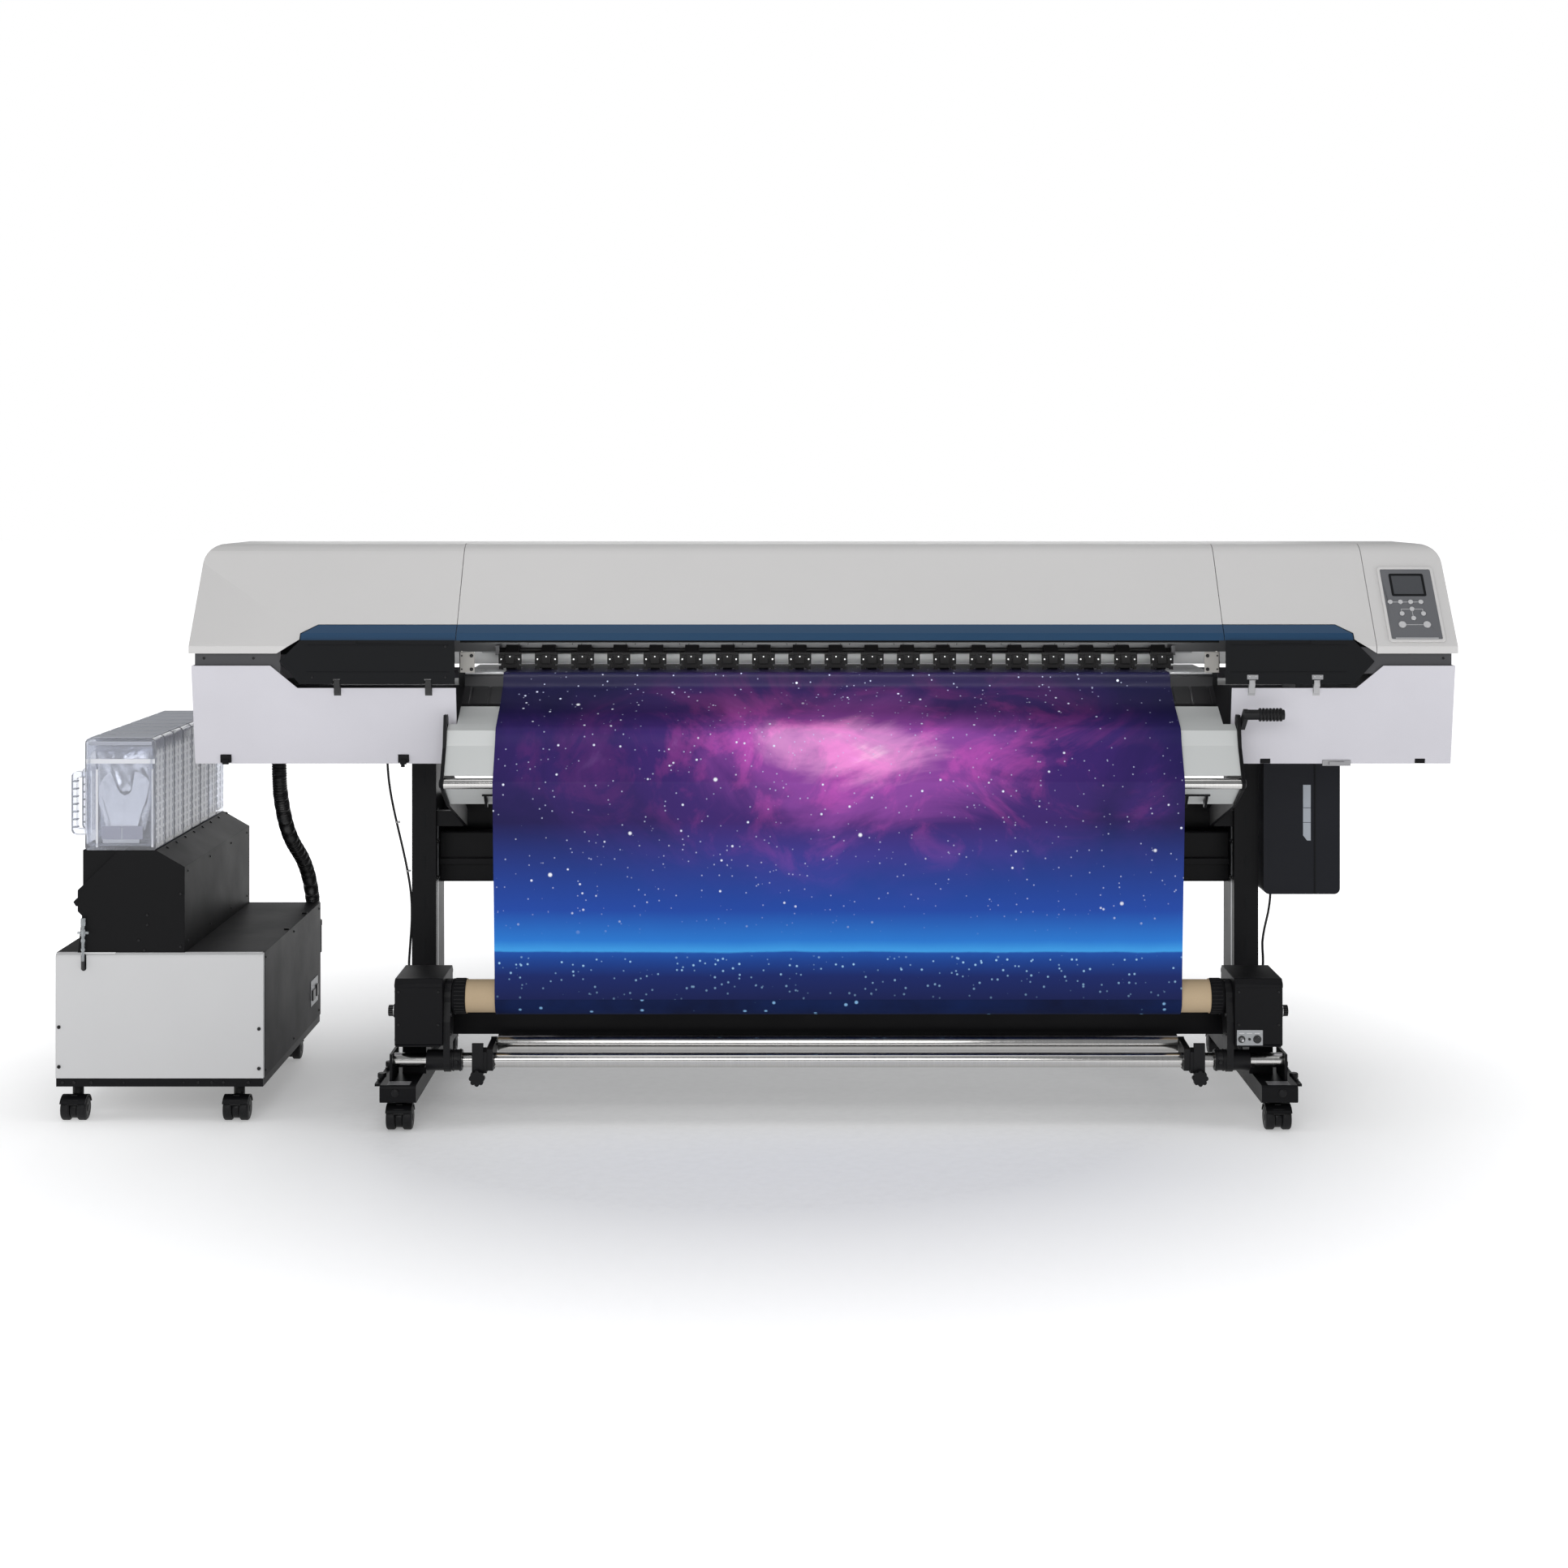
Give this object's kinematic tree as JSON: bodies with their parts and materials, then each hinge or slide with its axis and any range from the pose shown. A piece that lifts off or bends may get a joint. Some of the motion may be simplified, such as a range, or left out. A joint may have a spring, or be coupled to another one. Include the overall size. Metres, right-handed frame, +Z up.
{
  "type": "roll-to-roll wide-format printer",
  "caption": "Wide-format roll printer on a wheeled stand with a hinged front cover, pinch-fed media path, motorised take-up unit and a separate ink supply cart joined by a hose.",
  "frame": {"origin": "on the floor at the centre of the whole machine, cart included", "axes": "+X to the right as the operator faces the machine, +Y to the back, +Z up"},
  "size_m": [3.287, 0.86, 1.353],
  "materials": {
    "frame_black": "fine-textured powder coat",
    "arm_charcoal": "satin powder coat",
    "chassis_grey": "powder coat",
    "cover_beige": "fine-grained moulded plastic",
    "cover_lavender": "fine-grained moulded plastic",
    "trim_navy": "satin gloss",
    "platen_black": "black anodised",
    "guide_plate": "satin paint",
    "panel_grey": "satin overlay",
    "drive_metal": "extruded and machined",
    "chrome": "polished",
    "tank_black": "blow-moulded",
    "cart_charcoal": "powder coat",
    "cart_front": "powder coat",
    "tower_black": "moulded",
    "hose_black": "corrugated polymer",
    "cable_black": "flexible jacket",
    "media_print": "printed vinyl",
    "service_black": "moulded",
    "lever_black": "moulded, ribbed grip",
    "pinch_metal": "folded sheet",
    "roller_rubber": "ground rubber",
    "roller_steel": "machined",
    "carriage_plastic": "moulded",
    "paper_core": "spiral-wound paper tube",
    "media_roll": "wound vinyl",
    "button_black": "moulded",
    "key_grey": "moulded",
    "ink_case": "translucent moulded",
    "caster_plastic": "moulded",
    "caster_tyre": "moulded tread"
  },
  "bodies": {
    "printer": {"feet": "frame_black", "stand_frame": "frame_black", "main_beam": "chassis_grey", "upper_left_cover": "cover_beige", "upper_right_cover": "cover_beige", "panel_cover": "cover_beige", "lower_covers": "cover_lavender", "rear_cover": "cover_beige", "side_trims": "trim_navy", "platen": "platen_black", "paper_guide": "guide_plate", "control_panel": "panel_grey", "carriage_drive": "drive_metal", "takeup_boxes": "frame_black", "takeup_arms": "arm_charcoal", "chrome_tubes": "chrome", "rear_holders": "frame_black", "waste_tank": "tank_black", "cart_chassis": "frame_black", "cart_casing": "cart_charcoal", "cart_front_panel": "cart_front", "ink_tower": "tower_black", "ink_hose": "hose_black", "cables": "cable_black", "media_web": "media_print"},
    "front_cover": {"front_cover": "cover_beige", "front_cover_trim": "trim_navy"},
    "left_service_panel": {"left_service_panel": "service_black"},
    "right_service_panel": {"right_service_panel": "service_black"},
    "clamp_lever": {"clamp_lever": "lever_black"},
    "pinch_arms": {"pinch_arms": "pinch_metal"},
    "pinch_rollers": {"pinch_rollers": "roller_rubber"},
    "feed_roller": {"feed_roller": "roller_steel"},
    "carriage": {"carriage": "carriage_plastic"},
    "takeup_reel": {"takeup_reel": "paper_core"},
    "supply_roll": {"supply_roll": "media_roll"},
    "guide_roller": {"guide_roller": "chrome"},
    "toggle_switch": {"toggle_switch": "roller_steel"},
    "start_button": {"start_button": "button_black"},
    "panel_keys": {"panel_keys": "key_grey"},
    "ink_case_1": {"ink_case_1": "ink_case"},
    "ink_case_2": {"ink_case_2": "ink_case"},
    "ink_case_3": {"ink_case_3": "ink_case"},
    "ink_case_4": {"ink_case_4": "ink_case"},
    "ink_case_5": {"ink_case_5": "ink_case"},
    "ink_case_6": {"ink_case_6": "ink_case"},
    "ink_case_7": {"ink_case_7": "ink_case"},
    "ink_case_8": {"ink_case_8": "ink_case"},
    "caster_fork_left": {"caster_fork_left": "caster_plastic"},
    "caster_fork_right": {"caster_fork_right": "caster_plastic"},
    "caster_wheels_left": {"caster_wheels_left": "caster_tyre"},
    "caster_wheels_right": {"caster_wheels_right": "caster_tyre"},
    "rear_wheels_left": {"rear_wheels_left": "caster_tyre"},
    "rear_wheels_right": {"rear_wheels_right": "caster_tyre"},
    "cart_fork_left": {"cart_fork_left": "caster_plastic"},
    "cart_fork_right": {"cart_fork_right": "caster_plastic"},
    "cart_wheels_left": {"cart_wheels_left": "caster_tyre"},
    "cart_wheels_right": {"cart_wheels_right": "caster_tyre"},
    "cart_rear_wheels_left": {"cart_rear_wheels_left": "caster_tyre"},
    "cart_rear_wheels_right": {"cart_rear_wheels_right": "caster_tyre"}
  },
  "joints": [
    {"name": "front_cover_hinge", "type": "hinge", "parent": "printer", "child": "front_cover", "pos_m": [0.1915, -0.015, 1.345], "axis": [-1, 0, 0], "range_deg": [0, 55]},
    {"name": "left_panel_hinge", "type": "hinge", "parent": "printer", "child": "left_service_panel", "pos_m": [-0.9, -0.336, 1.032], "axis": [1, 0, 0], "range_deg": [0, 80]},
    {"name": "right_panel_hinge", "type": "hinge", "parent": "printer", "child": "right_service_panel", "pos_m": [1.24, -0.336, 1.032], "axis": [1, 0, 0], "range_deg": [0, 80]},
    {"name": "clamp_lever_turn", "type": "hinge", "parent": "printer", "child": "clamp_lever", "pos_m": [1.137, -0.345, 0.93], "axis": [1, 0, 0], "range_deg": [0, 45]},
    {"name": "pinch_lift", "type": "hinge", "parent": "printer", "child": "pinch_arms", "pos_m": [0.1915, -0.045, 1.088], "axis": [-1, 0, 0], "range_deg": [0, 5]},
    {"name": "feed_spin", "type": "hinge", "parent": "printer", "child": "feed_roller", "pos_m": [0.1915, -0.11, 1.03], "axis": [1, 0, 0], "continuous": true},
    {"name": "pinch_spin", "type": "hinge", "parent": "pinch_arms", "child": "pinch_rollers", "pos_m": [0.1915, -0.11, 1.0534], "axis": [1, 0, 0], "continuous": true},
    {"name": "carriage_slide", "type": "slide", "parent": "printer", "child": "carriage", "axis": [1, 0, 0], "range_m": [-2.09, 0]},
    {"name": "takeup_spin", "type": "hinge", "parent": "printer", "child": "takeup_reel", "pos_m": [0.1915, -0.337, 0.297], "axis": [1, 0, 0], "continuous": true},
    {"name": "supply_spin", "type": "hinge", "parent": "printer", "child": "supply_roll", "pos_m": [0.1915, 0.305, 0.76], "axis": [1, 0, 0], "continuous": true},
    {"name": "guide_spin", "type": "hinge", "parent": "printer", "child": "guide_roller", "pos_m": [0.1915, -0.3, 0.178], "axis": [1, 0, 0], "continuous": true},
    {"name": "toggle_turn", "type": "hinge", "parent": "printer", "child": "toggle_switch", "pos_m": [1.125, -0.405, 0.211], "axis": [1, 0, 0], "range_deg": [-12, 12]},
    {"name": "start_press", "type": "slide", "parent": "printer", "child": "start_button", "axis": [0, 1, 0], "range_m": [0, 0.002], "stiffness_N_per_m": 200, "springref_m": -0.0005},
    {"name": "keys_press", "type": "slide", "parent": "printer", "child": "panel_keys", "axis": [0, 0.8028, -0.5962], "range_m": [0, 0.0012], "stiffness_N_per_m": 800, "springref_m": -0.0005},
    {"name": "ink_case_1_lift", "type": "slide", "parent": "printer", "child": "ink_case_1", "axis": [0, 0, 1], "range_m": [0, 0.2]},
    {"name": "ink_case_2_lift", "type": "slide", "parent": "printer", "child": "ink_case_2", "axis": [0, 0, 1], "range_m": [0, 0.2]},
    {"name": "ink_case_3_lift", "type": "slide", "parent": "printer", "child": "ink_case_3", "axis": [0, 0, 1], "range_m": [0, 0.2]},
    {"name": "ink_case_4_lift", "type": "slide", "parent": "printer", "child": "ink_case_4", "axis": [0, 0, 1], "range_m": [0, 0.2]},
    {"name": "ink_case_5_lift", "type": "slide", "parent": "printer", "child": "ink_case_5", "axis": [0, 0, 1], "range_m": [0, 0.2]},
    {"name": "ink_case_6_lift", "type": "slide", "parent": "printer", "child": "ink_case_6", "axis": [0, 0, 1], "range_m": [0, 0.2]},
    {"name": "ink_case_7_lift", "type": "slide", "parent": "printer", "child": "ink_case_7", "axis": [0, 0, 1], "range_m": [0, 0.2]},
    {"name": "ink_case_8_lift", "type": "slide", "parent": "printer", "child": "ink_case_8", "axis": [0, 0, 1], "range_m": [0, 0.2]},
    {"name": "caster_swivel_left", "type": "hinge", "parent": "printer", "child": "caster_fork_left", "pos_m": [-0.826, -0.373, 0.068], "axis": [0, 0, 1], "continuous": true},
    {"name": "caster_roll_left", "type": "hinge", "parent": "caster_fork_left", "child": "caster_wheels_left", "pos_m": [-0.826, -0.395, 0.0275], "axis": [1, 0, 0], "continuous": true},
    {"name": "rear_roll_left", "type": "hinge", "parent": "printer", "child": "rear_wheels_left", "pos_m": [-0.826, 0.348, 0.0275], "axis": [1, 0, 0], "continuous": true},
    {"name": "caster_swivel_right", "type": "hinge", "parent": "printer", "child": "caster_fork_right", "pos_m": [1.209, -0.373, 0.068], "axis": [0, 0, 1], "continuous": true},
    {"name": "caster_roll_right", "type": "hinge", "parent": "caster_fork_right", "child": "caster_wheels_right", "pos_m": [1.209, -0.395, 0.0275], "axis": [1, 0, 0], "continuous": true},
    {"name": "rear_roll_right", "type": "hinge", "parent": "printer", "child": "rear_wheels_right", "pos_m": [1.209, 0.348, 0.0275], "axis": [1, 0, 0], "continuous": true},
    {"name": "cart_swivel_left", "type": "hinge", "parent": "printer", "child": "cart_fork_left", "pos_m": [-1.6035, -0.29, 0.08], "axis": [0, 0, 1], "continuous": true},
    {"name": "cart_roll_left", "type": "hinge", "parent": "cart_fork_left", "child": "cart_wheels_left", "pos_m": [-1.6035, -0.312, 0.0275], "axis": [1, 0, 0], "continuous": true},
    {"name": "cart_rear_roll_left", "type": "hinge", "parent": "printer", "child": "cart_rear_wheels_left", "pos_m": [-1.6035, 0.29, 0.0275], "axis": [1, 0, 0], "continuous": true},
    {"name": "cart_swivel_right", "type": "hinge", "parent": "printer", "child": "cart_fork_right", "pos_m": [-1.2225, -0.29, 0.08], "axis": [0, 0, 1], "continuous": true},
    {"name": "cart_roll_right", "type": "hinge", "parent": "cart_fork_right", "child": "cart_wheels_right", "pos_m": [-1.2225, -0.312, 0.0275], "axis": [1, 0, 0], "continuous": true},
    {"name": "cart_rear_roll_right", "type": "hinge", "parent": "printer", "child": "cart_rear_wheels_right", "pos_m": [-1.2225, 0.29, 0.0275], "axis": [1, 0, 0], "continuous": true}
  ],
  "couplings": [
    {"joint": "pinch_lift", "follows": "clamp_lever_turn", "ratio": 0.11111},
    {"joint": "pinch_spin", "follows": "feed_spin", "ratio": -1.4444}
  ]
}
